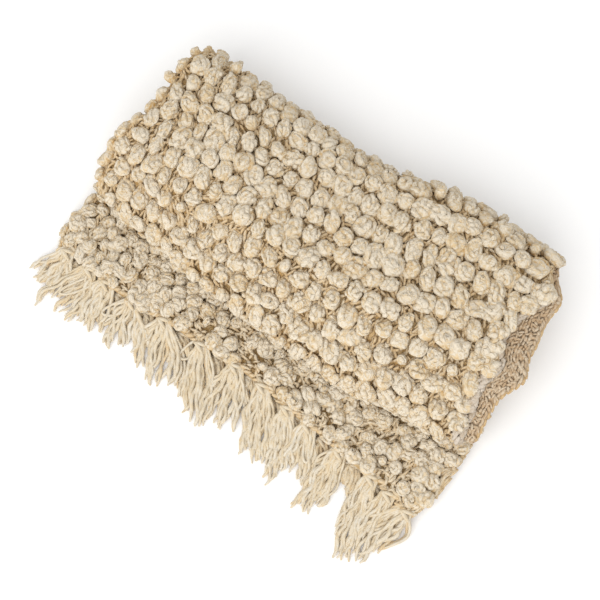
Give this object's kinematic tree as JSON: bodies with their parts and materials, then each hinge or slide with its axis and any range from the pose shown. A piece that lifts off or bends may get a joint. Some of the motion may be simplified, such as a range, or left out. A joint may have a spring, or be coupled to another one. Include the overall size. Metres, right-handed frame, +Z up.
{
  "type": "chunky knit blanket",
  "caption": "Chunky bobble-knit throw, doubled across its width and folded into a stack, with a tassel fringe along its front edge.",
  "frame": {"origin": "middle of the bounding box at the surface that the folded throw rests on", "axes": "+X along the long side of the folded stack, towards its open side edges; +Y from the fringed edge to the back fold; +Z up"},
  "size_m": [0.6572, 0.5086, 0.1263],
  "materials": {
    "bobble_knit": "matt undyed wool and cotton yarn, hand-knitted with raised bobbles, plain ribbed reverse",
    "fringe_yarn": "loosely twisted cream yarn with frayed ends"
  },
  "bodies": {
    "root": {"knitted_cloth": "bobble_knit", "tassel_fringe": "fringe_yarn"}
  },
  "joints": []
}
